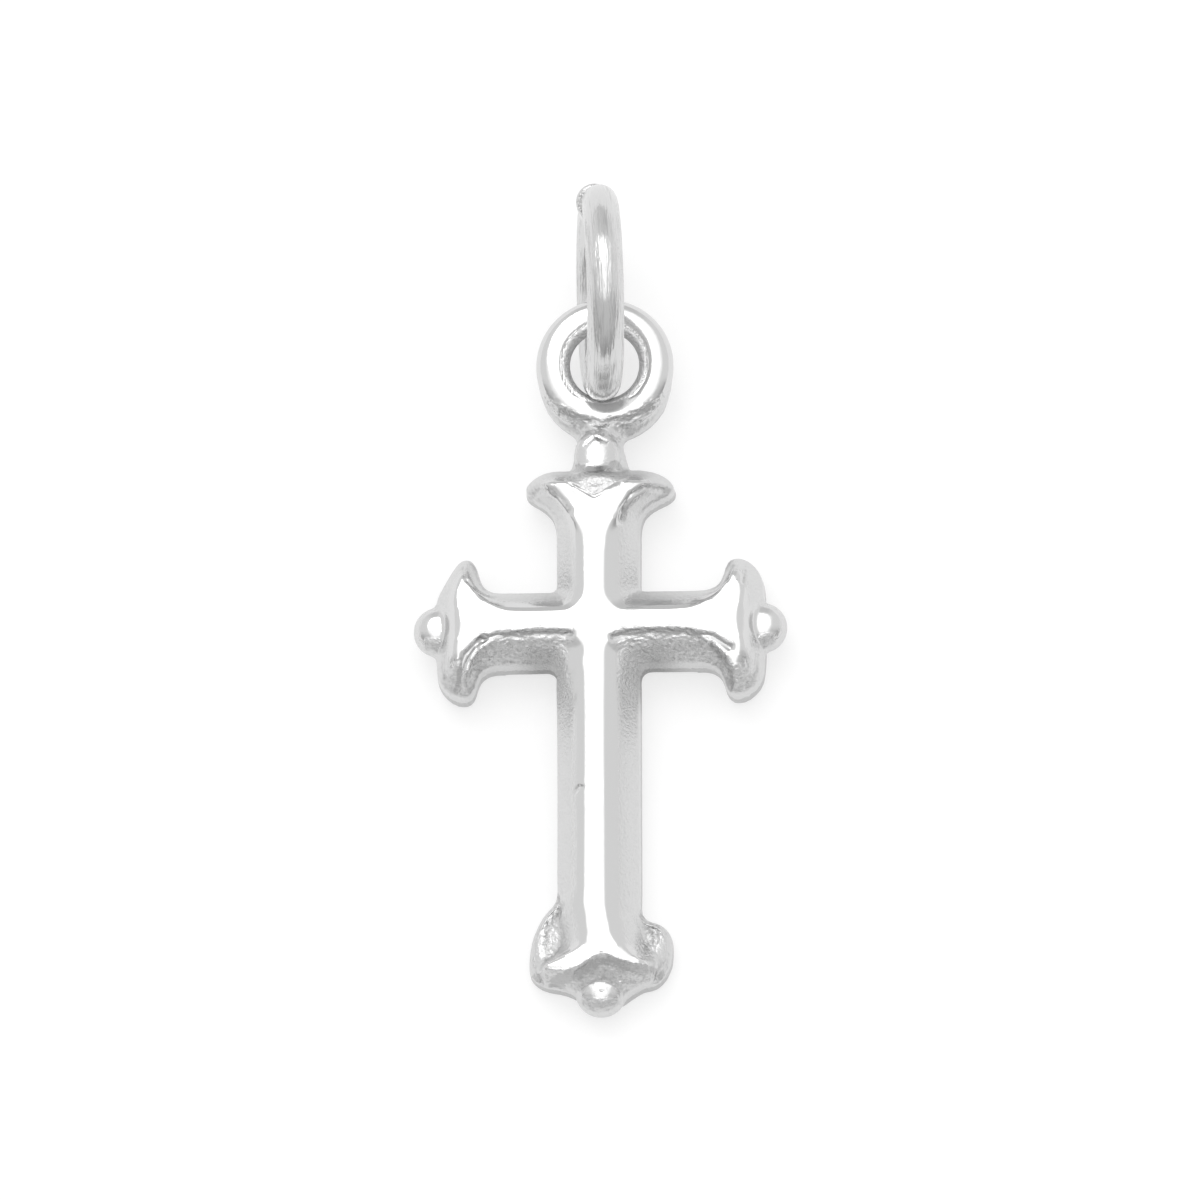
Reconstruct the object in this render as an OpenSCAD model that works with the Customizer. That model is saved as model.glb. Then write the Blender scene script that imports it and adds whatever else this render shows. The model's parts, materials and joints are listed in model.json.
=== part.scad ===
// Cast silver cross charm, lying on its back, with a jump ring through its eye.
// The cross is drawn flat: u to the right, v towards the head, w up from the flat back.
// It is then laid down with its foot on the ground and its head propped on the jump ring.

/* [Cross] */
// Thickness of the cross, from its flat back to the crest of the ridges
cross_t = 1.62; // [1.5:0.02:1.8]
// Height of the upright wall under the bevels
wall_t = 0.86; // [0.6:0.02:0.94]
// Width of the shaft and of the upper arm
shaft_w = 1.88; // [1.7:0.02:2]
// Width of the two side arms
arm_w = 1.72; // [1.6:0.02:1.9]
// Width of the crest that runs along every arm
crest_w = 0.52; // [0.4:0.02:0.6]
// Middle of the crossing to the end of a side arm
side_reach = 3.76; // [3.6:0.02:4.2]
// Middle of the crossing to the end of the upper arm
head_reach = 3.72; // [3.6:0.02:4.2]
// Middle of the crossing to the end of the shaft
foot_reach = 8.46; // [7.5:0.02:9]
// How far the shaft stands to the left of the charm's middle line
shaft_aside = 0.05; // [0:0.01:0.1]
// How much further to the left the crest of the shaft runs
crest_aside = 0.05; // [0:0.01:0.1]
// How far the fork of the foot stands to the right of the charm's middle line
fork_aside = 0.06; // [0:0.01:0.1]

/* [Edges] */
// How far the crest is crowned along its middle
crown = 0.02; // [0:0.01:0.06]
// How full the bevels are at half height, as a share of their rise
belly = 0.12; // [0:0.02:0.2]
// Fall of the crest as it runs out to the tips of the horns, for each millimetre
horn_fall = 0.14; // [0:0.02:0.3]
// How far the wall leans out at its foot, the draft of the mould
draft = 0.04; // [0:0.01:0.08]
// Chamfer around the back
back_chamfer = 0.06; // [0.03:0.01:0.1]
// Radius of the two inner corners next to the shaft
corner_r = 0.18; // [0.1:0.02:0.24]

/* [Beads] */
// Radius of the bead at the end of each side arm
side_bead_r = 0.58; // [0.5:0.02:0.62]
// Radius of the bead at the foot
foot_bead_r = 0.6; // [0.5:0.02:0.62]
// Radius of the bead on the neck, under the eye
neck_bead_r = 0.5; // [0.46:0.02:0.54]

/* [Eye] */
// Radius from the middle of the eye to the middle of its bar
eye_r = 1.21; // [1.2:0.01:1.26]
// Radius of the eye's round bar
eye_bar_r = 0.38; // [0.34:0.01:0.39]
// How far the eye sits to the right of the shaft's line
eye_offset = 0.12; // [0:0.02:0.16]
// Width of the neck at its narrowest
neck_w = 1.04; // [0.9:0.02:1.1]
// Height of the side walls of the neck, and thickness of the collar under the eye
neck_t = 0.45; // [0.3:0.05:0.6]

/* [Jump ring] */
// Outer diameter of the jump ring
ring_od = 5; // [4.96:0.01:5.04]
// Diameter of its wire
ring_wire = 0.85; // [0.8:0.01:0.87]
// Lean of the ring towards the right of the charm, in degrees
ring_lean = 6; // [0:0.5:8]
// Turn of the ring about the upright, in degrees
ring_turn = 2; // [0:0.1:3]

/* [Hidden] */

shaft_half = shaft_w / 2;
arm_half = arm_w / 2;
crest_half = crest_w / 2;

// Outline and crest of each arm's end, from its straight edge round to the arm's axis.
// back: distance in from the end of the arm, to the outline
// out: distance from the arm's axis, to the outline
// crest_back, crest_out: the same two distances, to the edge of the crest
// shelf: share of the bevel next to the outline that stays down at the wall's height
BACK = 0;
OUT = 1;
CREST_BACK = 2;
CREST_OUT = 3;
SHELF = 4;

HEAD_HORN = [
    [1.70, 0.94, 1.80, 0.29, 0.00],
    [1.30, 0.95, 1.50, 0.38, 0.06],
    [1.01, 1.04, 1.22, 0.53, 0.16],
    [0.80, 1.26, 0.96, 0.72, 0.26],
    [0.63, 1.56, 0.74, 0.89, 0.24],
    [0.46, 1.70, 0.56, 1.03, 0.06],
    [0.31, 1.65, 0.47, 1.07, 0.00],
    [0.12, 1.42, 0.45, 0.94, 0.00],
    [0.01, 1.10, 0.46, 0.72, 0.00],
    [0.00, 0.75, 0.50, 0.48, 0.00],
    [0.00, 0.36, 0.64, 0.22, 0.00],
    [0.00, 0.00, 0.78, 0.00, 0.00],
];
ARM_HORN = [
    [1.60, 0.86, 1.70, 0.28, 0.00],
    [1.26, 0.89, 1.38, 0.39, 0.10],
    [1.03, 1.02, 1.13, 0.53, 0.24],
    [0.92, 1.25, 0.92, 0.73, 0.32],
    [0.84, 1.48, 0.78, 0.94, 0.26],
    [0.68, 1.61, 0.69, 1.08, 0.08],
    [0.46, 1.58, 0.61, 1.04, 0.00],
    [0.22, 1.42, 0.54, 0.86, 0.00],
    [0.05, 1.14, 0.50, 0.65, 0.00],
    [0.01, 0.80, 0.51, 0.43, 0.00],
    [0.00, 0.40, 0.54, 0.22, 0.00],
    [0.00, 0.00, 0.55, 0.00, 0.00],
];
ARM_HORN_WORN = [
    [1.60, 0.86, 1.70, 0.28, 0.00],
    [1.32, 0.88, 1.42, 0.38, 0.06],
    [1.12, 0.98, 1.17, 0.50, 0.16],
    [1.00, 1.20, 0.96, 0.69, 0.24],
    [0.91, 1.50, 0.80, 0.93, 0.20],
    [0.74, 1.67, 0.70, 1.10, 0.06],
    [0.54, 1.60, 0.61, 1.06, 0.00],
    [0.32, 1.30, 0.54, 0.86, 0.00],
    [0.14, 0.98, 0.50, 0.64, 0.00],
    [0.02, 0.72, 0.51, 0.42, 0.00],
    [0.00, 0.38, 0.54, 0.21, 0.00],
    [0.00, 0.00, 0.55, 0.00, 0.00],
];
// How far the foot of the wall runs on under the bead
foot_toe = 0.3;
FOOT_LOBE_LEFT = [
    [2.60, 0.94, 2.60, 0.26, 0.00],
    [2.12, 0.96, 2.16, 0.26, 0.02],
    [1.72, 1.31, 1.58, 0.27, 0.34],
    [1.24, 1.55, 1.10, 0.30, 0.50],
    [0.82, 1.62, 0.82, 0.42, 0.46],
    [0.50, 1.63, 0.62, 0.76, 0.26],
    [0.28, 1.54, 0.42, 1.26, 0.06],
    [0.10, 1.28, 0.29, 1.18, 0.00],
    [0.01, 0.90, 0.24, 0.76, 0.00],
    [-0.12, 0.60, 0.42, 0.36, 0.00],
    [-0.28, 0.36, 0.62, 0.10, 0.00],
    [-foot_toe, 0.00, 0.70, 0.00, 0.00],
];
FOOT_LOBE_RIGHT = [
    [2.40, 0.94, 2.40, 0.26, 0.00],
    [1.84, 0.95, 2.00, 0.26, 0.02],
    [1.64, 1.07, 1.65, 0.26, 0.20],
    [1.54, 1.34, 1.38, 0.27, 0.38],
    [1.26, 1.58, 1.02, 0.28, 0.46],
    [0.60, 1.58, 0.60, 0.60, 0.28],
    [0.28, 1.40, 0.42, 1.00, 0.06],
    [0.12, 1.18, 0.34, 0.98, 0.00],
    [0.05, 0.88, 0.36, 0.68, 0.00],
    [-0.12, 0.60, 0.48, 0.34, 0.00],
    [-0.28, 0.36, 0.62, 0.10, 0.00],
    [-foot_toe, 0.00, 0.70, 0.00, 0.00],
];

// How the crest turns the inner corners of the crossing
crest_corner = 0.4;
crest_turn = 0.58;
crest_straight = 1.0;
crest_flare = 0.02;
// Where the outline of an arm runs straight, past the bar that it crosses
corner_run = 0.5;
// Points along each stretch between two rows
STEPS = 3;
// Shares of the rise of the bevel, from the inner edge of its shelf to the crest
BEVEL = [0, 0.18, 0.36, 0.54, 0.72, 0.88];
// The narrowest shelf, a fine lip along the top of the wall
LIP = 0.03;

// A row of an arm: along and across the arm for the outline, the same for the crest, and the shelf
function end_rows(reach, horn) =
    [for (r = horn) [reach - r[BACK], r[OUT], reach - r[CREST_BACK], r[CREST_OUT], r[SHELF]]];

// The rows of half an arm of half-width own, which leaves a crossing bar of half-width other
function half_arm(reach, own, other, fillet, horn) = let (bulge = fillet * (1 - sqrt(0.5))) concat(
    [
        [other + bulge, own + bulge, crest_corner, crest_corner, 0],
        [other + corner_r, own, crest_turn, crest_half + crest_flare, 0],
        [other + corner_run, own, crest_straight, crest_half, 0],
    ],
    end_rows(reach, horn)
);

// Smooth curve through all the rows: a cubic whose slopes follow the neighbouring rows
function gap(rows, i) = sqrt(norm([rows[i + 1][0] - rows[i][0], rows[i + 1][1] - rows[i][1]]));
function slope(rows, i) = let (last = len(rows) - 1)
    i == 0 ? (rows[1] - rows[0]) / gap(rows, 0)
    : i == last ? (rows[last] - rows[last - 1]) / gap(rows, last - 1)
    : let (before = gap(rows, i - 1), after = gap(rows, i))
        ((rows[i + 1] - rows[i]) * before / after + (rows[i] - rows[i - 1]) * after / before)
            / (before + after);
function between(rows, i, t) = let (g = gap(rows, i))
    rows[i] * (2 * t ^ 3 - 3 * t ^ 2 + 1)
    + slope(rows, i) * g * (t ^ 3 - 2 * t ^ 2 + t)
    + rows[i + 1] * (3 * t ^ 2 - 2 * t ^ 3)
    + slope(rows, i + 1) * g * (t ^ 3 - t ^ 2);
function smoothed(rows) = concat(
    [for (i = [0:len(rows) - 2]) for (k = [0:STEPS - 1]) between(rows, i, k / STEPS)],
    [rows[len(rows) - 1]]
);

// The four arms in order round the cross: direction, then the half before the axis and the half after
ARMS = [
    [0, half_arm(side_reach, arm_half, shaft_half, corner_r, ARM_HORN),
        half_arm(side_reach, arm_half, shaft_half, 0, ARM_HORN)],
    [90, half_arm(head_reach, shaft_half, arm_half, 0, HEAD_HORN),
        half_arm(head_reach, shaft_half, arm_half, 0, HEAD_HORN)],
    [180, half_arm(side_reach, arm_half, shaft_half, 0, ARM_HORN_WORN),
        half_arm(side_reach, arm_half, shaft_half, corner_r, ARM_HORN)],
    [270, half_arm(foot_reach, shaft_half, arm_half, corner_r, FOOT_LOBE_LEFT),
        half_arm(foot_reach, shaft_half, arm_half, corner_r, FOOT_LOBE_RIGHT)],
];
DIRECTION = 0;
BEFORE = 1;
AFTER = 2;
COUNT = (len(HEAD_HORN) + 2) * STEPS;

// An arm's own coordinates to the cross's: a point that is along and across the arm
function placed(arm, along, across) = let (a = arm[DIRECTION])
    [along * cos(a) - across * sin(a), along * sin(a) + across * cos(a)];

// The straight shaft stands aside of the middle line one way, its crest by a little more, and its fork
// stands aside the other way
ASIDE_END = 1.6;
ASIDE_RUN = 0.6;
FORK_FROM = 6.6;
FORK_RUN = 1.2;
function eased(t) = let (c = max(0, min(1, t))) c * c * (3 - 2 * c);
function aside(p, by) = let (fork = eased((-p.y - FORK_FROM) / FORK_RUN))
    [p.x + (fork_aside * fork - by * (1 - fork)) * eased((ASIDE_END - abs(p.x)) / ASIDE_RUN), p.y];
function outline_moved(p) = aside(p, shaft_aside);
function crest_moved(p) = aside(p, shaft_aside + crest_aside);

// The whole outline as [outline point, crest point, shelf, distance of the crest from the arm's axis]
function placed_row(arm, row, side) = [
    outline_moved(placed(arm, row[0], side * row[1])),
    crest_moved(placed(arm, row[2], side * row[3])),
    row[4],
    row[3],
];
LOOP = [for (arm = ARMS) each concat(
    [for (row = smoothed(arm[BEFORE])) placed_row(arm, row, -1)],
    let (rows = smoothed(arm[AFTER])) [for (i = [COUNT - 1:-1:1]) placed_row(arm, rows[i], 1)]
)];
N = len(LOOP);
ARM_N = 2 * COUNT;

// Heights above the back: the edge of the crest, which falls away only in the horns, and the bevel at a
// share s of the way up to it
FALL_FROM = 0.5;
function crest_height(across) = cross_t - horn_fall * max(0, across - FALL_FROM);
function bevel_height(s, across) = wall_t + (crest_height(across) - wall_t) * s * (1 + 4 * belly * (1 - s));

function outward(row) = (row[0] - row[1]) / norm(row[0] - row[1]);
function wall_ring(offset, height) = [
    for (row = LOOP) let (p = row[0] + outward(row) * offset) [p.x, p.y, height]
];
function bevel_ring(s) = [for (row = LOOP)
    let (shelf = max(LIP, row[2]), p = row[0] + (row[1] - row[0]) * (shelf + (1 - shelf) * s))
    [p.x, p.y, bevel_height(s, row[3])]];
crest_ring = [for (row = LOOP) [row[1].x, row[1].y, crest_height(row[3])]];
RINGS = concat(
    [wall_ring(draft - back_chamfer, 0), wall_ring(draft, back_chamfer), wall_ring(0, wall_t)],
    [for (s = BEVEL) bevel_ring(s)],
    [crest_ring]
);

// The middle line of the crest, one point for each pair of crest points across an arm
SPINE_STEP = 0.02;
function spine(k) = let (arm = ARMS[k], rows = smoothed(arm[BEFORE]), notch = rows[COUNT][2]) [
    for (i = [0:COUNT - 1]) let (
        along = min(rows[i][2], notch - SPINE_STEP * (COUNT - i)),
        p = crest_moved(placed(arm, along, 0))
    ) [p.x, p.y, cross_t + crown]
];
SPINES = [for (k = [0:3]) each spine(k)];
TOP = N * (len(RINGS) - 1);
SPINE_TOP = N * len(RINGS);
CENTRE = SPINE_TOP + len(SPINES);

function before_point(k, i) = TOP + k * ARM_N + i;
function after_point(k, i) = TOP + (k * ARM_N + ARM_N - i) % N;
function spine_point(k, i) = SPINE_TOP + k * COUNT + i;

// The two triangles between neighbouring points of two rings, split along the shorter diagonal
function side_pair(r, i) = let (
    j = (i + 1) % N,
    a = r * N + i,
    b = r * N + j,
    c = (r + 1) * N + i,
    d = (r + 1) * N + j,
    low = RINGS[r],
    high = RINGS[r + 1]
) norm(high[j] - low[i]) < norm(high[i] - low[j]) ? [[a, c, d], [a, d, b]] : [[a, c, b], [c, d, b]];

module cross_body() {
    centre = [-shaft_aside - crest_aside, 0, cross_t + crown];
    side_faces = [for (r = [0:len(RINGS) - 2]) for (i = [0:N - 1]) each side_pair(r, i)];
    crest_faces = [for (k = [0:3]) each concat(
        [for (i = [0:COUNT - 2]) each [
            [before_point(k, i), spine_point(k, i), spine_point(k, i + 1)],
            [before_point(k, i), spine_point(k, i + 1), before_point(k, i + 1)],
            [spine_point(k, i), after_point(k, i), after_point(k, i + 1)],
            [spine_point(k, i), after_point(k, i + 1), spine_point(k, i + 1)],
        ]],
        [
            [before_point(k, COUNT - 1), spine_point(k, COUNT - 1), before_point(k, COUNT)],
            [spine_point(k, COUNT - 1), after_point(k, COUNT - 1), before_point(k, COUNT)],
            [CENTRE, spine_point(k, 0), before_point(k, 0)],
            [CENTRE, after_point(k, 0), spine_point(k, 0)],
        ]
    )];
    polyhedron(
        points = concat([for (ring = RINGS) each ring], SPINES, [centre]),
        faces = concat([[for (i = [0:N - 1]) i]], side_faces, crest_faces)
    );
}

// Beads and eye, as heights above the back and distances from the crossing
bead_h = 0.62;
side_bead_at = side_reach - 0.04;
foot_bead_at = foot_reach + 0.06;
neck_bead_at = head_reach + 0.28;
neck_bead_h = 0.85;
neck_base = 0.25;
neck_ridge_r = 0.3;
eye_h = 0.8;
eye_at = head_reach + 2.48;
neck_at = head_reach + 0.62;
fillet_r = 0.6;
collar_drop = 0.18;
collar_inset = 0.03;
$fn = 64;

module beads() {
    for (side = [-1, 1]) translate([side * side_bead_at, 0, bead_h]) sphere(r = side_bead_r);
    translate([0, -foot_bead_at, bead_h]) sphere(r = foot_bead_r);
    translate([0, neck_bead_at, neck_bead_h]) sphere(r = neck_bead_r);
}

module eye() {
    translate([eye_offset, eye_at, eye_h]) rotate_extrude() translate([eye_r, 0]) circle(r = eye_bar_r);
}

// The neck, a rounded boss between the cross and the eye
module neck() {
    root_half = 0.74;
    root_at = head_reach - 0.2;
    ridge_rise = 0.1;
    ridge_run = 0.2;
    hull() {
        translate([0, 0, neck_base]) linear_extrude(neck_t)
            polygon([
                [-root_half, root_at], [root_half, root_at],
                [neck_w / 2, neck_at], [-neck_w / 2, neck_at],
            ]);
        translate([0, neck_bead_at, neck_bead_h + ridge_rise]) sphere(r = neck_ridge_r, $fn = 32);
        translate([eye_offset, neck_at + ridge_run, eye_h]) sphere(r = neck_ridge_r, $fn = 32);
    }
}

// The thin collar that thickens the eye where it meets the neck
module collar() {
    flare = 0.5;
    collar_half = 1.1;
    translate([0, 0, neck_base]) linear_extrude(neck_t) difference() {
        union() {
            difference() {
                translate([-collar_half, neck_at]) square([2 * collar_half, flare]);
                for (side = [-1, 1])
                    translate([side * (neck_w / 2 + fillet_r), neck_at]) circle(r = fillet_r);
            }
            translate([eye_offset, eye_at - collar_drop]) circle(r = eye_r + eye_bar_r - collar_inset);
        }
        translate([eye_offset, eye_at]) circle(r = eye_r);
        translate([-2 * eye_r, eye_at - collar_drop]) square(4 * eye_r);
    }
}

// How the charm lies: the foot's back edge on the ground, the head lifted by the ring under the eye
tilt = 1.75;
ring_ahead = 0.21;
ring_aside = 0.08;
wire_r = ring_wire / 2;
ring_r = ring_od / 2 - wire_r;
foot_edge = foot_reach + foot_toe + draft - back_chamfer;
lift = foot_edge * sin(tilt);
ring_y = (eye_at + eye_r) * cos(tilt) - eye_h * sin(tilt) + ring_ahead;
lowest_y = -foot_bead_at * cos(tilt) - bead_h * sin(tilt) - foot_bead_r;
middle_y = (ring_y + ring_od / 2 + lowest_y) / 2;

module cross() {
    color("silver") translate([0, -middle_y, lift]) rotate([tilt, 0, 0]) {
        cross_body();
        beads();
        eye();
        neck();
        collar();
    }
}

module jump_ring() {
    color("silver") translate([ring_aside, ring_y - middle_y, ring_r * cos(ring_lean) + wire_r])
        rotate([0, 0, ring_turn]) rotate([0, 90 + ring_lean, 0])
            rotate_extrude() translate([ring_r, 0]) circle(r = wire_r);
}

cross();
jump_ring();
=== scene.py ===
import json
import math

import bpy
from mathutils import Matrix, Vector

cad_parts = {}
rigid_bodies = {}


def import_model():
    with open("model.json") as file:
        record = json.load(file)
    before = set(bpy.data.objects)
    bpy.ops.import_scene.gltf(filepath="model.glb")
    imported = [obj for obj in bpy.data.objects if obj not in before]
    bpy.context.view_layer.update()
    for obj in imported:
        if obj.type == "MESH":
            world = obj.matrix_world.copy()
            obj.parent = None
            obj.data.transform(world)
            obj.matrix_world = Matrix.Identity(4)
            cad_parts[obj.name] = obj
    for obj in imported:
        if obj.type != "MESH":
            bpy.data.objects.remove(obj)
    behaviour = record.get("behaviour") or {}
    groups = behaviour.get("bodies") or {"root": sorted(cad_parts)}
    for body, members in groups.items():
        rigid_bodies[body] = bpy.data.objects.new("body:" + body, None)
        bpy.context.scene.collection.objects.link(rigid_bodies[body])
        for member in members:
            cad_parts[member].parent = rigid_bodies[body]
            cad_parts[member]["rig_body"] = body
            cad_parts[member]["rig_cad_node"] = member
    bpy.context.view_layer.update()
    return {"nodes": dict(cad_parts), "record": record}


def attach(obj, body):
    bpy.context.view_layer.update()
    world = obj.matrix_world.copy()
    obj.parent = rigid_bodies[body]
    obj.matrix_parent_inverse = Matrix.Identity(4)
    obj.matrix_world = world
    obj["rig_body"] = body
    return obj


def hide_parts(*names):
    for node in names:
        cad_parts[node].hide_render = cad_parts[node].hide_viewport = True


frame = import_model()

# The camera. It looks down on the charm through a long lens, from a little towards its foot and a little to its
# right, with the head of the cross at the top of the picture.
MM = 0.001
VIEW_TO_FOOT = math.radians(15.75)
VIEW_TO_RIGHT = math.radians(3)
PICTURE_WIDTH = 27.55 * MM
PICTURE_MIDDLE = (-0.06 * MM, 0.46 * MM)
LENS_MM = 1000
SENSOR_MM = 36

view_side = math.sin(VIEW_TO_RIGHT)
view_foot = -math.sin(VIEW_TO_FOOT)
towards_camera = Vector((view_side, view_foot, math.sqrt(1 - view_side ** 2 - view_foot ** 2)))
picture_right = Vector((0, 1, 0)).cross(towards_camera).normalized()
picture_up = towards_camera.cross(picture_right)
looked_at = picture_right * PICTURE_MIDDLE[0] + picture_up * PICTURE_MIDDLE[1]

bpy.ops.object.select_all(action="DESELECT")
bpy.ops.object.camera_add()
camera = bpy.context.active_object
camera.name = "camera"
camera.data.lens = LENS_MM
camera.data.sensor_width = SENSOR_MM
camera.data.clip_start = 0.01
camera.data.clip_end = 20
turned = Matrix((picture_right, picture_up, towards_camera)).transposed().to_4x4()
camera_place = looked_at + towards_camera * PICTURE_WIDTH * LENS_MM / SENSOR_MM
camera.matrix_world = Matrix.Translation(camera_place) @ turned
bpy.context.scene.camera = camera

# The table. A wide sheet of white acrylic that the charm lies on, lit evenly from below, which keeps the shadow
# round the charm faint.
TABLE_SIDE = 6.0
ACRYLIC_WHITE = 0.42
LIT_FROM_BELOW = 0.62

bpy.ops.mesh.primitive_plane_add(size=TABLE_SIDE)
table = bpy.context.active_object
table.name = "table"
acrylic = bpy.data.materials.new("white_acrylic")
acrylic.use_nodes = True
acrylic_shader = acrylic.node_tree.nodes["Principled BSDF"]
acrylic_shader.inputs["Base Color"].default_value = (ACRYLIC_WHITE, ACRYLIC_WHITE, ACRYLIC_WHITE, 1)
acrylic_shader.inputs["Roughness"].default_value = 0.9
acrylic_shader.inputs["Specular IOR Level"].default_value = 0.0
acrylic_shader.inputs["Emission Color"].default_value = (1, 1, 1, 1)
acrylic_shader.inputs["Emission Strength"].default_value = LIT_FROM_BELOW
table.data.materials.append(acrylic)

# The light. A tent of white cloth all round, greyer on the camera's side, with a bright panel of cloth overhead, a
# gap behind the head of the cross, and one soft lamp over its left shoulder.
NEAR_LOW = 0.42
NEAR_HIGH = 0.72
SIDE_CLOTH = 0.92
PANEL = 0.85
GAP_BEHIND = -0.18

# Where one cloth fades into the next, as parts of a direction of length one: upwards, towards the head or sideways
NEAR_RISES = (0.0, 0.6)
NEAR_TO_SIDE = (-0.2, 0.02)
PANEL_NEAR_EDGE = (-0.42, -0.24)
PANEL_FAR_EDGE = (0.5, 0.72)
PANEL_SIDE_EDGE = (0.1, 0.6)
GAP_NEAR_EDGE = (0.55, 0.8)
GAP_SIDE_EDGE = (0.25, 0.6)

tent = bpy.data.worlds.new("light_tent")
tent.use_nodes = True
cloth_nodes = tent.node_tree.nodes
cloth_links = tent.node_tree.links
direction = cloth_nodes.new("ShaderNodeTexCoord")
towards = cloth_nodes.new("ShaderNodeSeparateXYZ")
cloth_links.new(direction.outputs["Generated"], towards.inputs["Vector"])


def cloth_math(operation, first, second=None):
    step = cloth_nodes.new("ShaderNodeMath")
    step.operation = operation
    cloth_links.new(first, step.inputs[0])
    if second:
        cloth_links.new(second, step.inputs[1])
    return step.outputs["Value"]


def cloth_fade(value, edge, from_value, to_value):
    """A soft change from one brightness to another, while value runs over an edge."""
    fade = cloth_nodes.new("ShaderNodeMapRange")
    fade.interpolation_type = "SMOOTHSTEP"
    cloth_links.new(value, fade.inputs["Value"])
    fade.inputs["From Min"].default_value = edge[0]
    fade.inputs["From Max"].default_value = edge[1]
    fade.inputs["To Max"].default_value = to_value
    if isinstance(from_value, bpy.types.NodeSocket):
        cloth_links.new(from_value, fade.inputs["To Min"])
    else:
        fade.inputs["To Min"].default_value = from_value
    return fade.outputs["Result"]


to_side = cloth_math("ABSOLUTE", towards.outputs["X"])
to_head = towards.outputs["Y"]
upwards = towards.outputs["Z"]
near_cloth = cloth_fade(upwards, NEAR_RISES, NEAR_LOW, NEAR_HIGH)
cloth = cloth_fade(to_head, NEAR_TO_SIDE, near_cloth, SIDE_CLOTH)
panel = cloth_math(
    "MULTIPLY", cloth_fade(to_head, PANEL_NEAR_EDGE, 0, PANEL), cloth_fade(to_side, PANEL_SIDE_EDGE, 1, 0))
panel = cloth_math("MULTIPLY", panel, cloth_fade(to_head, PANEL_FAR_EDGE, 1, 0))
gap_behind = cloth_math(
    "MULTIPLY", cloth_fade(to_head, GAP_NEAR_EDGE, 0, GAP_BEHIND), cloth_fade(to_side, GAP_SIDE_EDGE, 1, 0))
brightness = cloth_math("ADD", cloth_math("ADD", cloth, panel), gap_behind)
cloth_links.new(brightness, cloth_nodes["Background"].inputs["Color"])
bpy.context.scene.world = tent

LAMP_AZIMUTH = math.radians(-25)
LAMP_ELEVATION = math.radians(58)
LAMP_DISTANCE = 0.6
LAMP_SIDE = 0.34
LAMP_WATTS = 0.4
lamp_direction = Vector((
    math.sin(LAMP_AZIMUTH) * math.cos(LAMP_ELEVATION),
    math.cos(LAMP_AZIMUTH) * math.cos(LAMP_ELEVATION),
    math.sin(LAMP_ELEVATION),
))
bpy.ops.object.light_add(type="AREA")
lamp = bpy.context.active_object
lamp.name = "soft_lamp"
lamp.data.shape = "DISK"
lamp.data.size = LAMP_SIDE
lamp.data.energy = LAMP_WATTS
lamp.matrix_world = (
    Matrix.Translation(lamp_direction * LAMP_DISTANCE) @ lamp_direction.to_track_quat("Z", "Y").to_matrix().to_4x4())

# The picture shows the light as it falls, with no film look over it.
bpy.context.scene.view_settings.view_transform = "Standard"
bpy.context.scene.view_settings.look = "None"

# The cross. One casting in silver: the cross with its horned ends, the beads, the neck and the eye. It starts from
# the drawn solid. Here its edges are worn soft as tumbling wears them, the hollows beside the horns are cut, and the
# skin of the casting is left where no polishing wheel reaches.
GRID_MM = 0.06
SAME_POINT = 0.0001

bpy.ops.object.select_all(action="DESELECT")
drawn = frame["nodes"]["cross"]
drawn.select_set(True)
bpy.context.view_layer.objects.active = drawn
bpy.ops.object.duplicate()
cross = bpy.context.active_object
cross.name = "cross_casting"
del cross["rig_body"], cross["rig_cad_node"]
bpy.ops.object.mode_set(mode="EDIT")
bpy.ops.mesh.select_all(action="SELECT")
bpy.ops.mesh.remove_doubles(threshold=SAME_POINT * MM)
bpy.ops.object.mode_set(mode="OBJECT")


def mount_named(name):
    return next(mount for mount in frame["record"]["mounts"] if mount["name"] == name)


# For the modelling the casting lies flat and a thousand times its size: X to the right, Y to the head and Z up from
# its back, in millimetres, with the middle of the crossing at X and Y zero.
back = mount_named("back")
laid = Matrix.Translation(back["pos_m"]) @ Matrix.Rotation(math.asin(back["axis"][1]), 4, "X")
cross.parent = None
cross.matrix_world = Matrix.Scale(1 / MM, 4) @ laid.inverted()
bpy.ops.object.transform_apply(location=True, rotation=True, scale=True)

# Set on before everything is fused: the low dome on the neck, the saddle between it and the eye, the fan between
# it and the head, and the eye's flat inner edge
EYE_AT = Vector((0.12, 6.2, 0))
DOME_AT = (-0.06, 3.98, 1.08)
DOME_HALF = (0.54, 0.64, 0.26)
SADDLE_AT = (0.03, 4.62, 0.8)
SADDLE_HALF = (0.42, 0.5, 0.36)
FAN_AT = (0.0, 3.1, 1.0)
FAN_HALF = (0.8, 0.5, 0.58)
EDGE_RADII = (1.06, 0.27)
EDGE_HEIGHT = 0.905
set_on = [cross]
for place, half in ((DOME_AT, DOME_HALF), (SADDLE_AT, SADDLE_HALF), (FAN_AT, FAN_HALF)):
    bpy.ops.mesh.primitive_uv_sphere_add(segments=64, ring_count=32, radius=1, location=place, scale=half)
    set_on.append(bpy.context.active_object)
bpy.ops.mesh.primitive_torus_add(
    major_segments=96, minor_segments=32, major_radius=EDGE_RADII[0], minor_radius=EDGE_RADII[1],
    location=EYE_AT + Vector((0, 0, EDGE_HEIGHT)))
set_on.append(bpy.context.active_object)
for piece in set_on:
    piece.select_set(True)
bpy.context.view_layer.objects.active = cross
bpy.ops.object.join()


def apply(item, kind, **settings):
    """Add a modifier and apply it to the mesh."""
    modifier = item.modifiers.new(kind.lower(), kind)
    for name, value in settings.items():
        setattr(modifier, name, value)
    bpy.ops.object.modifier_apply(modifier=modifier.name)


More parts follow.
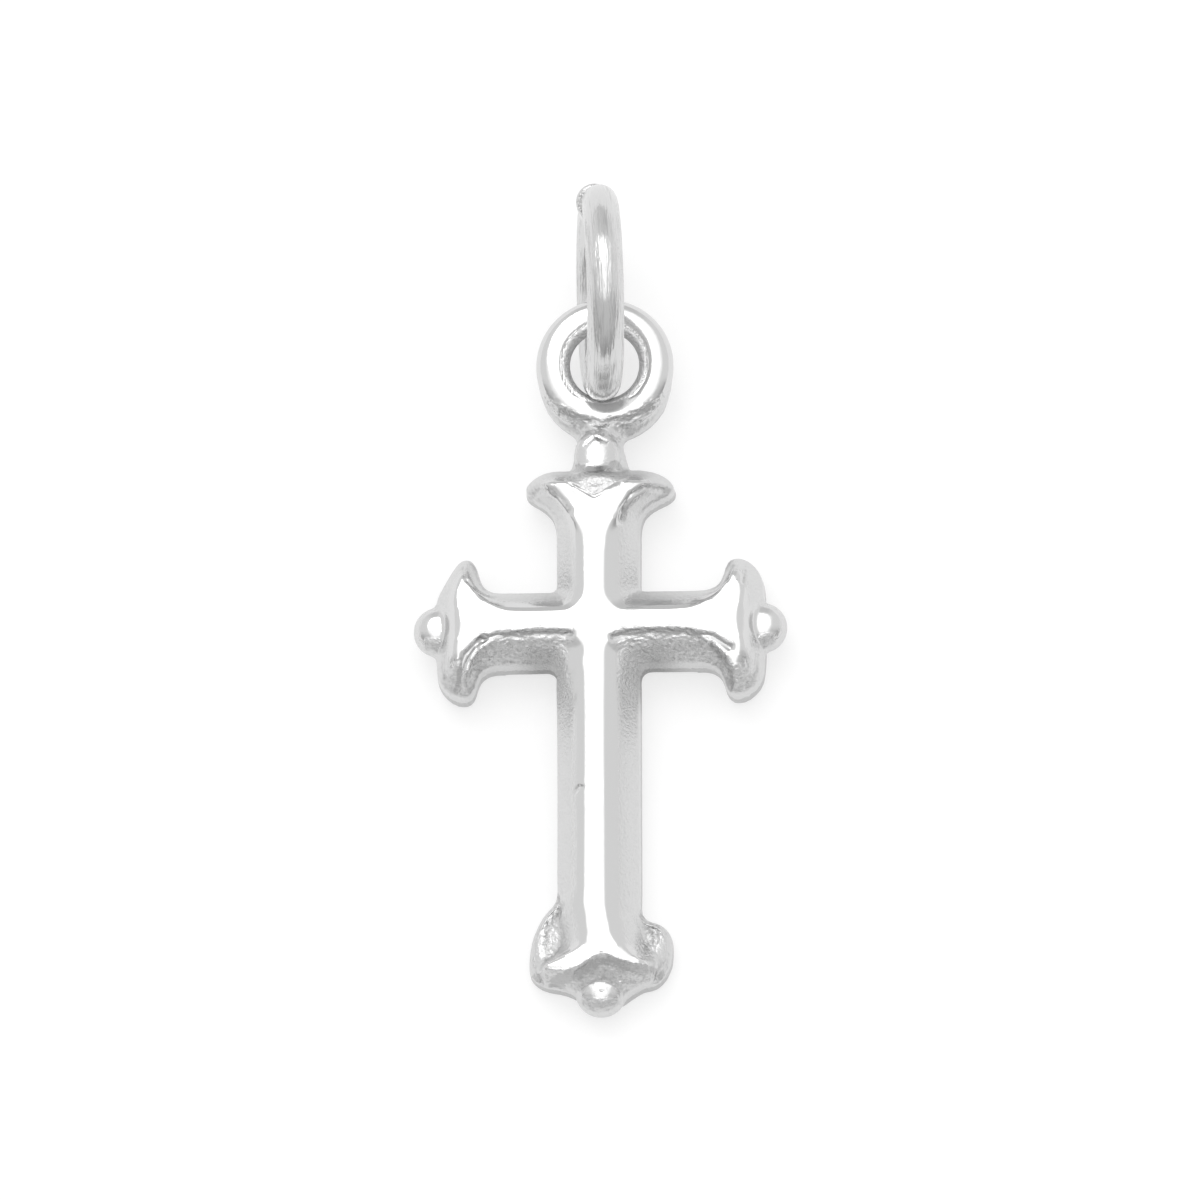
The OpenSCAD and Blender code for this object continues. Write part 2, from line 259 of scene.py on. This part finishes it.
def tumble(item, rounds, group=""):
    """Wear the edges softer, everywhere or in one vertex group."""
    apply(item, "SMOOTH", factor=0.5, iterations=rounds, vertex_group=group)


apply(cross, "REMESH", mode="VOXEL", voxel_size=GRID_MM)
tumble(cross, 4)

# A finer grid where the small forms are, on the front: left, foot, right, head
FINE_PARTS = {
    "foot": (-1.8, -9.3, 1.8, -6.4),
    "head": (-1.9, 2.3, 1.9, 3.9),
    "left_horns": (-3.7, -1.8, -2.4, 1.8),
    "right_horns": (2.4, -1.8, 3.7, 1.8),
    "scar": (-0.95, -4.35, 0.15, -3.75),
    "left_bevel": (-2.4, -0.75, -0.6, 0.0),
    "right_bevel": (0.2, -0.75, 2.4, 0.0),
    "under_eye": (-1.2, 4.3, 1.4, 5.4),
}
FRONT_FROM = 0.76
FRONT_FACING = 0.1

bpy.ops.object.mode_set(mode="EDIT")
bpy.ops.mesh.select_mode(type="FACE")
bpy.ops.mesh.select_all(action="DESELECT")
bpy.ops.object.mode_set(mode="OBJECT")
for face in cross.data.polygons:
    middle = face.center
    face.select = middle.z > FRONT_FROM and face.normal.z > FRONT_FACING and any(
        left < middle.x < right and foot < middle.y < head for left, foot, right, head in FINE_PARTS.values())
bpy.ops.object.mode_set(mode="EDIT")
bpy.ops.mesh.subdivide(number_cuts=1)
bpy.ops.object.mode_set(mode="OBJECT")
tumble(cross, 3)


def eased(share):
    """A share kept between 0 and 1, with soft ends. A distance past an edge, over a width, fades over that width."""
    share = max(0.0, min(1.0, share))
    return share * share * (3 - 2 * share)


def off_stroke(place, stroke):
    """Distance on the plan from a place to a stroke, drawn as a row of points."""
    least = math.inf
    for start, end in zip(stroke, stroke[1:]):
        run = Vector(end) - Vector(start)
        share = (place.xy - Vector(start)).dot(run) / run.length_squared
        nearest = Vector(start) + run * max(0, min(1, share))
        least = min(least, (place.xy - nearest).length)
    return least


def mark(item, name, weight_at, box):
    """A vertex group, weighted by place and normal inside a box on the plan: left, foot, right, head."""
    left, foot, right, head = box
    group = item.vertex_groups.new(name=name)
    for vertex in item.data.vertices:
        place = vertex.co
        if left < place.x < right and foot < place.y < head:
            weight = weight_at(place, vertex.normal)
            if weight > 0.01:
                group.add([vertex.index], min(weight, 1.0), "REPLACE")


STROKES_FROM = 0.6


def mark_stroke(name, stroke, width):
    """A vertex group along a stroke on the front of the casting: full on it, nothing at its width away."""
    across = [point[0] for point in stroke]
    along = [point[1] for point in stroke]
    box = (min(across) - width, min(along) - width, max(across) + width, max(along) + width)
    mark(
        cross, name,
        lambda place, normal: (
            eased(1 - off_stroke(place, stroke) / width) if normal.z > 0 and place.z > STROKES_FROM else 0),
        box,
    )


def push(item, group, depth, direction="NORMAL", **by_grain):
    """Push a group in or out, evenly, or up and down by a grain."""
    settings = {"vertex_group": group, "strength": depth, "direction": direction, "mid_level": 0.0}
    if by_grain:
        settings.update(by_grain, mid_level=0.5)
    apply(item, "DISPLACE", **settings)


# Filing blends the neck's top into the head and the eye.
NECK_HALF = 0.75
NECK_FROM = 3.0
NECK_TO = 4.95


def neck_top(place, normal):
    across = eased((NECK_HALF - abs(place.x)) / 0.2)
    along = eased((place.y - NECK_FROM) / 0.3) * eased((NECK_TO - place.y) / 0.2)
    return across * along * eased((normal.z - FRONT_FACING) / 0.3)


mark(cross, "neck", neck_top, (-0.8, 3.0, 0.8, 5.0))
tumble(cross, 60, "neck")

# The eye's inner edge is rubbed flat by the ring.
RUBBED_RADIUS = 1.4
RUBBED_FROM = 0.8
RUBBED_FACING = 0.2


def eye_edge(place, normal):
    off_middle = (place.xy - EYE_AT.xy).length
    on_front = normal.z > RUBBED_FACING and place.z > RUBBED_FROM
    return eased((RUBBED_RADIUS - off_middle) / 0.1) if on_front else 0


mark(cross, "eye_edge", eye_edge, (-1.4, 4.7, 1.7, 7.7))
tumble(cross, 25, "eye_edge")

# The collar under the eye is filed away to nothing towards the eye's middle.
COLLAR_FROM = 5.2
COLLAR_RUN = 0.75
COLLAR_THICK = 0.17
COLLAR_FILED = 0.15
COLLAR_END = 5.95
EYE_UNDERSIDE = 0.42


def collar_back(place, normal):
    return eased((place.y - COLLAR_FROM) / COLLAR_RUN) * max(0.0, (EYE_UNDERSIDE - place.z) / COLLAR_THICK)


def collar_end(place, normal):
    return eased((0.75 - place.z) / 0.2) * eased((0.75 - abs(place.y - COLLAR_END)) / 0.35)


mark(cross, "collar_back", collar_back, (-1.7, 5.2, 1.9, 6.2))
push(cross, "collar_back", COLLAR_FILED, "Z")
mark(cross, "collar_end", collar_end, (-1.7, 5.1, 1.9, 6.9))
tumble(cross, 60, "collar_end")

# Hollows beside the horns, creases along the edges, flats worn on the beads, and small scars and pits: stroke, width
# and depth. A depth below zero leaves a raised line.
HOLLOWS = {
    "head_left": ([(-1.63, 3.12), (-1.39, 3.2), (-1.07, 3.1), (-0.79, 2.8), (-0.66, 2.6)], 0.14, 0.035),
    "head_right": ([(1.5, 3.2), (1.08, 3.17), (0.76, 2.98), (0.57, 2.65), (0.53, 2.4)], 0.11, 0.06),
    "left_upper": ([(-3.12, 1.36), (-3.02, 1.02), (-2.81, 0.78), (-2.64, 0.7), (-2.38, 0.63)], 0.07, 0.035),
    "right_upper": ([(3.06, 1.3), (2.96, 0.97), (2.72, 0.74), (2.41, 0.64)], 0.07, 0.035),
    "right_crease": ([(3.34, 1.22), (3.31, 0.88)], 0.06, 0.03),
    "left_lower": ([(-2.67, -0.38), (-3.04, -0.76), (-3.2, -1.16), (-3.27, -1.45)], 0.17, 0.06),
    "left_gleam": ([(-2.78, -0.62), (-2.96, -0.9), (-3.1, -1.28), (-3.06, -1.46)], 0.09, -0.06),
    "right_lower": ([(2.55, -0.62), (2.8, -0.85), (2.98, -1.15), (3.02, -1.4)], 0.1, 0.06),
    "left_rim": ([(-3.58, -0.7), (-3.6, -0.95), (-3.54, -1.25), (-3.4, -1.42)], 0.06, 0.03),
    "right_rim": ([(3.62, -0.75), (3.6, -1.05), (3.5, -1.28), (3.36, -1.44)], 0.06, 0.03),
    "left_edge": ([(-0.65, -0.29), (-1.3, -0.26), (-1.8, -0.3), (-2.3, -0.31), (-2.65, -0.43)], 0.16, 0.055),
    "right_edge": (
        [(0.35, -0.38), (0.6, -0.31), (1.2, -0.28), (1.98, -0.3), (2.6, -0.41), (3.0, -0.66)], 0.16, 0.055),
    "eye_line": ([(-0.87, 5.11), (-0.48, 4.92), (0.03, 4.74), (0.33, 4.84), (0.69, 4.9), (1.2, 5.18)], 0.13, 0.03),
    "neck_line": ([(-0.31, 4.24), (-0.07, 4.43), (0.17, 4.31)], 0.08, 0.02),
    "neck_arc": ([(-0.49, 3.69), (-0.1, 3.62), (0.41, 3.77)], 0.2, 0.01),
    "fan_edge": ([(-0.6, 3.22), (-0.09, 2.92), (0.52, 3.21)], 0.07, 0.02),
    "bead_foot": ([(0.0, -8.45), (0.05, -8.45)], 0.5, 0.06),
    "bead_left": ([(-3.76, 0.02), (-3.7, 0.02)], 0.38, 0.05),
    "bead_right": ([(3.7, 0.02), (3.76, 0.02)], 0.38, 0.05),
    "fork_groove": (
        [(-1.1, -8.4), (-0.46, -8.28), (-0.12, -8.06), (0.23, -8.01), (0.59, -8.13), (1.0, -8.2), (1.33, -8.12)],
        0.2, 0.05),
    "fork_streak": ([(0.45, -8.36), (0.75, -8.38), (1.1, -8.3)], 0.07, 0.04),
    "lobe_left": (
        [(-1.05, -6.42), (-1.31, -6.74), (-1.55, -7.22), (-1.62, -7.64), (-1.63, -7.96), (-1.5, -8.2)], 0.34, 0.12),
    "lobe_right": ([(1.12, -6.84), (1.34, -6.92), (1.58, -7.2), (1.6, -7.86), (1.42, -8.18)], 0.4, 0.14),
    "web_left": ([(-0.98, -6.6), (-1.18, -6.95), (-1.24, -7.3), (-1.18, -7.66)], 0.26, 0.05),
    "web_right": ([(1.18, -6.95), (1.22, -7.3), (1.05, -7.65)], 0.36, 0.05),
    "scar": ([(-0.52, -3.97), (-0.46, -3.9), (-0.37, -3.93)], 0.07, 0.03),
    "crest_pit": ([(0.04, -3.85), (0.04, -3.88)], 0.04, 0.012),
    "bead_pit": ([(0.02, -8.6), (0.08, -8.62)], 0.06, 0.02),
}
for name, (stroke, width, depth) in HOLLOWS.items():
    mark_stroke(name, stroke, width)
    push(cross, name, -depth)

# Metal left standing in the crossing's lower corners and under the neck: stroke, width and height
FILLED = {
    "corner_left": ([(-0.94, -1.0), (-1.5, -2.5)], 0.64, 0.24),
    "corner_right": ([(0.98, -1.0), (1.54, -2.5)], 0.64, 0.24),
    "under_neck": ([(-0.35, 3.45), (0.3, 3.45)], 0.38, 0.15),
}
for name, (stroke, width, height) in FILLED.items():
    mark_stroke(name, stroke, width)
    push(cross, name, height, "Z")

# The lobes on both sides of the foot are worn rounder than the rest.
LOBES_FROM = 0.95

mark(cross, "lobes", lambda place, normal: eased((abs(place.x) - LOBES_FROM) / 0.2), (-1.8, -8.1, 1.8, -6.3))
tumble(cross, 10, "lobes")

# Casting skin, rough where no wheel reaches: a box on the plan and the skin's depth for each face that looks to the
# foot. Its grain is drawn out across the cross by the way it was brushed.
PITTED_GRAIN = 0.055
STREAKED_GRAIN = 0.07
DRAWN_ACROSS = 1.7
WEB_SKIN_DEPTH = 0.09
BRUSHED_FROM = 0.75
BRUSHED_FACING = 0.2
BRUSHED_FACES = {
    "lower_bevels": ((-4.0, -1.9, 4.0, -0.1), 0.06),
    "neck_front": ((-0.6, 3.3, 0.6, 3.85), 0.04),
    "foot_face": ((-1.7, -9.2, 1.7, -7.6), 0.025),
    "under_eye": ((-1.3, 4.5, 1.5, 5.5), 0.08),
}


def skin_grain(name, size):
    clouds = bpy.data.textures.new(name, "CLOUDS")
    clouds.noise_scale = size
    clouds.noise_depth = 1
    return clouds


def faces_foot(place, normal):
    facing = eased((-normal.y - BRUSHED_FACING) / 0.35)
    return facing * eased((place.z - BRUSHED_FROM) / 0.15) if normal.z > FRONT_FACING else 0


bpy.ops.object.empty_add()
brushing = bpy.context.active_object
brushing.scale = (DRAWN_ACROSS, 1, 1)
bpy.context.view_layer.objects.active = cross
pitted = skin_grain("pitted_skin", PITTED_GRAIN)
streaked = skin_grain("streaked_skin", STREAKED_GRAIN)
for name in ("web_left", "web_right"):
    push(cross, name, WEB_SKIN_DEPTH, texture=pitted, texture_coords="LOCAL")
for name, (box, depth) in BRUSHED_FACES.items():
    mark(cross, name, faces_foot, box)
    push(cross, name, depth, texture=streaked, texture_coords="OBJECT", texture_coords_object=brushing)
bpy.data.objects.remove(brushing)
cross.select_set(True)
bpy.context.view_layer.objects.active = cross
bpy.ops.object.shade_smooth()

# For the finish: how much casting skin each marked place keeps, and how much painted shade darkens it, from 0 to 1
SKIN_GROUPS = {"web_left": 0.5, "web_right": 0.5, "lower_bevels": 0.5, "foot_face": 0.45, "under_eye": 0.25,
               "neck_front": 0.5}
# Painted shade in grooves, pits and on faces towards the foot
PAINTED_SHADE_GROUPS = {"left_edge": 1.0, "right_edge": 1.0, "eye_line": 1.0, "neck_line": 0.8, "neck_arc": 1.0, "fan_edge": 0.6,
           "fork_groove": 0.9, "bead_pit": 1.0, "web_left": 0.5, "web_right": 0.5, "foot_face": 0.35,
           "head_left": 0.5, "head_right": 0.6, "left_lower": 0.8, "right_lower": 0.8, "lower_bevels": 0.3,
           "under_eye": 0.35}

# The crest, the domes and the eye's front are rubbed bright. Skin is left in the eye's hole and low on its outside, on
# the bevels, most of all round the crossing's lower corners, and on the fan above its fold.
EYE_FROM = 4.85
HOLE_RADIUS = 1.0
HOLE_SKIN = 0.8
EYE_LOW = 0.95
EYE_LOW_SKIN = 0.3
CREST_FROM = 1.5
DOMES = [Vector((-0.06, 4.0)), Vector((0, -8.52)), Vector((-3.75, 0)), Vector((3.75, 0))]
DOME_SKIN = 0.2
CORNERS = [Vector((-0.93, -0.86)), Vector((0.87, -0.86))]
CORNER_REACH = 1.3
BEVEL_SKIN = 0.3
FOLD_AT = Vector((-0.09, 2.92))
FOLD_SLOPE = 0.55
FAN_WIDTH = 0.85
FAN_TOP = 3.6
FAN_SKIN = 0.45


def skin_at(place):
    if place.y > EYE_FROM:
        in_hole = eased((HOLE_RADIUS - (place.xy - EYE_AT.xy).length) / 0.12)
        return max(HOLE_SKIN * in_hole, EYE_LOW_SKIN * eased((EYE_LOW - place.z) / 0.2))
    off_domes = min((place.xy - dome).length for dome in DOMES)
    off_corners = min((place.xy - corner).length for corner in CORNERS)
    low = eased((CREST_FROM - place.z) / 0.2)
    off_dome = DOME_SKIN + (1 - DOME_SKIN) * eased((off_domes - 0.3) / 0.25)
    near_corner = BEVEL_SKIN + (1 - BEVEL_SKIN) * eased((CORNER_REACH - off_corners) / 0.9)
    over_fold = place.y - FOLD_AT.y - FOLD_SLOPE * abs(place.x - FOLD_AT.x)
    on_fan = eased(over_fold / 0.08) * eased((FAN_WIDTH - abs(place.x)) / 0.2) * eased((FAN_TOP - place.y) / 0.1)
    return max(low * off_dome * near_corner, FAN_SKIN * on_fan)


# Painted shade: the walls are darker below this height, next to the table.
WALL_SHADE_BELOW = 0.62
WALL_PAINTED_SHADE = 0.8

# Each point keeps its casting skin and its painted shade: the low walls and the marked grooves, pits and faces towards
# the foot are darkened.
cross.data.attributes.new("skin", "FLOAT", "POINT")
cross.data.attributes.new("shade_and_tarnish", "FLOAT", "POINT")
skin = cross.data.attributes["skin"].data
shade_and_tarnish = cross.data.attributes["shade_and_tarnish"].data
for vertex in cross.data.vertices:
    left_rough = skin_at(vertex.co)
    painted_shade = WALL_PAINTED_SHADE * eased((WALL_SHADE_BELOW - vertex.co.z) / 0.3)
    for member in vertex.groups:
        name = cross.vertex_groups[member.group].name
        left_rough = max(left_rough, member.weight * SKIN_GROUPS.get(name, 0.0))
        painted_shade = max(painted_shade, member.weight * PAINTED_SHADE_GROUPS.get(name, 0.0))
    skin[vertex.index].value = left_rough
    shade_and_tarnish[vertex.index].value = painted_shade
cross.vertex_groups.clear()

cross.matrix_world = laid @ Matrix.Scale(MM, 4)
bpy.ops.object.transform_apply(location=True, rotation=True, scale=True)


def silver(name, matt, place_attribute=None):
    """Silver, polished bright, matt and pitted where casting skin is left, and darker in patches of painted shade and
    tarnish.

    Its grain lies in the piece's own space, or follows an attribute of the piece that holds places.
    """
    colour = 0.68
    skin_bright = 0.94
    polished = 0.12
    pit_size = 14000
    pit_depth = 0.000075
    wave_size = 2600
    wave_depth = 0.000006
    darkening_patch_size = 11000
    darkening_spread = 0.6
    darkening_from, darkening_full = 0.35, 0.6
    darkened_bright = 0.75

    material = bpy.data.materials.new(name)
    material.use_nodes = True
    nodes = material.node_tree.nodes
    links = material.node_tree.links
    shader = nodes["Principled BSDF"]
    shader.inputs["Metallic"].default_value = 1.0
    skin_left = nodes.new("ShaderNodeAttribute")
    skin_left.attribute_name = "skin"
    shade_and_tarnish_attribute = nodes.new("ShaderNodeAttribute")
    shade_and_tarnish_attribute.attribute_name = "shade_and_tarnish"
    if place_attribute:
        own_place = nodes.new("ShaderNodeAttribute")
        own_place.attribute_name = place_attribute
        place = own_place.outputs["Vector"]
    else:
        place = nodes.new("ShaderNodeTexCoord").outputs["Object"]

    def noise(scale):
        node = nodes.new("ShaderNodeTexNoise")
        node.inputs["Scale"].default_value = scale
        node.inputs["Detail"].default_value = 3
        links.new(place, node.inputs["Vector"])
        return node.outputs["Fac"]

    def between(value, low, high):
        node = nodes.new("ShaderNodeMapRange")
        links.new(value, node.inputs["Value"])
        node.inputs["To Min"].default_value = low
        node.inputs["To Max"].default_value = high
        return node.outputs["Result"]

    def raised(height, depth):
        node = nodes.new("ShaderNodeBump")
        node.inputs["Distance"].default_value = depth
        links.new(height, node.inputs["Height"])
        return node

    def times(first, second):
        node = nodes.new("ShaderNodeMath")
        node.operation = "MULTIPLY"
        links.new(first, node.inputs[0])
        links.new(second, node.inputs[1])
        return node.outputs["Value"]

    # Painted shade, and tarnish on the ring: the base colour is darkened in patches where the point attribute read
    # above is high.
    patchy = nodes.new("ShaderNodeMath")
    patchy.operation = "ADD"
    links.new(shade_and_tarnish_attribute.outputs["Fac"], patchy.inputs[0])
    links.new(between(noise(darkening_patch_size), -darkening_spread, darkening_spread), patchy.inputs[1])
    darkening = nodes.new("ShaderNodeMapRange")
    darkening.inputs["From Min"].default_value = darkening_from
    darkening.inputs["From Max"].default_value = darkening_full
    darkening.inputs["To Min"].default_value = 1.0
    darkening.inputs["To Max"].default_value = darkened_bright
    links.new(patchy.outputs["Value"], darkening.inputs["Value"])
    brushed_colour = between(skin_left.outputs["Fac"], colour, colour * skin_bright)
    links.new(times(brushed_colour, darkening.outputs["Result"]), shader.inputs["Base Color"])
    links.new(between(skin_left.outputs["Fac"], polished, matt), shader.inputs["Roughness"])
    waves = raised(noise(wave_size), wave_depth)
    pits = raised(times(noise(pit_size), skin_left.outputs["Fac"]), pit_depth)
    links.new(waves.outputs["Normal"], pits.inputs["Normal"])
    links.new(pits.outputs["Normal"], shader.inputs["Normal"])
    return material


cross.data.materials.clear()
cross.data.materials.append(silver("cast_silver", matt=0.75))
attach(cross, "root")
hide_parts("cross")

# The jump ring. Round silver wire bent round until its ends meet, on edge through the eye. The ends are sawn, and
# the lower one was left a little to the left when the ring was closed.
opening = mount_named("ring_opening")
ring_axis = Vector(opening["axis"])
ring_up = (Vector((0, 0, 1)) - ring_axis * ring_axis.z).normalized()
ring_ahead = ring_up.cross(ring_axis)
WIRE = 0.85
RING_ACROSS = 5.0
WIRE_SIDES = 48
RING_STEPS = 180
SAWN_GAP = 0.03
EASED_EDGE = 0.07
JOINT_AT = math.radians(22)
SET_ASIDE = 0.1
SPRUNG = 1.4
SHADED_ROUND = math.radians(40)
wire_circle = (RING_ACROSS - WIRE) / 2

# It is made flat round the middle of the ring, a thousand times its size, with its ends at the X axis.
bpy.ops.object.select_all(action="DESELECT")
bpy.ops.mesh.primitive_circle_add(
    vertices=WIRE_SIDES, radius=WIRE / 2, fill_type="NGON", location=(wire_circle, 0, 0),
    rotation=(math.radians(90), 0, 0))
ring = bpy.context.active_object
ring.name = "jump_ring_wire"
bpy.ops.object.transform_apply(location=True, rotation=True, scale=True)
bpy.ops.object.mode_set(mode="EDIT")
bpy.ops.mesh.select_all(action="SELECT")
bpy.ops.mesh.spin(
    steps=RING_STEPS, angle=2 * math.pi - SAWN_GAP / wire_circle, center=(0, 0, 0), axis=(0, 0, 1),
    use_auto_merge=False)
bpy.ops.mesh.select_all(action="SELECT")
bpy.ops.mesh.remove_doubles(threshold=SAME_POINT)
bpy.ops.mesh.normals_make_consistent(inside=False)
bpy.ops.mesh.select_all(action="DESELECT")
bpy.ops.object.mode_set(mode="OBJECT")

# The edges of the two sawn ends are eased with a file.
for face in ring.data.polygons:
    face.select = len(face.vertices) == WIRE_SIDES
bpy.ops.object.mode_set(mode="EDIT")
bpy.ops.mesh.bevel(offset=EASED_EDGE, segments=3)
bpy.ops.object.mode_set(mode="OBJECT")


def near_lower_end(place, normal):
    before_end = -math.atan2(place.y, place.x) * wire_circle
    return eased(1 - before_end / SPRUNG) if before_end > 0 else 0


mark(ring, "lower_end", near_lower_end, (0, -RING_ACROSS, RING_ACROSS, 0.1))
push(ring, "lower_end", -SET_ASIDE, "Z")
ring.vertex_groups.clear()

# Where each point is in the wire, for the scratches that run along it
ALONG_DRAWN = 8
SCRATCHED = 0.4
WIRE_TARNISH = 0.3
ring.data.attributes.new("wire_place", "FLOAT_VECTOR", "POINT")
ring.data.attributes.new("skin", "FLOAT", "POINT")
ring.data.attributes.new("shade_and_tarnish", "FLOAT", "POINT")
wire_place = ring.data.attributes["wire_place"].data
wire_skin = ring.data.attributes["skin"].data
wire_stains = ring.data.attributes["shade_and_tarnish"].data
for vertex in ring.data.vertices:
    place = vertex.co
    along = math.atan2(place.y, place.x) * wire_circle / ALONG_DRAWN
    wire_place[vertex.index].vector = Vector((along, place.xy.length - wire_circle, place.z)) * MM
    wire_skin[vertex.index].value = SCRATCHED
    wire_stains[vertex.index].value = WIRE_TARNISH

ring.matrix_world = (
    Matrix.Translation(opening["pos_m"])
    @ Matrix((ring_ahead, ring_up, ring_axis)).transposed().to_4x4()
    @ Matrix.Rotation(JOINT_AT, 4, "Z") @ Matrix.Scale(MM, 4))
bpy.ops.object.transform_apply(location=True, rotation=True, scale=True)
bpy.ops.object.shade_smooth_by_angle(angle=SHADED_ROUND)
ring.data.materials.append(silver("silver_wire", matt=0.25, place_attribute="wire_place"))
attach(ring, "root")
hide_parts("jump_ring")
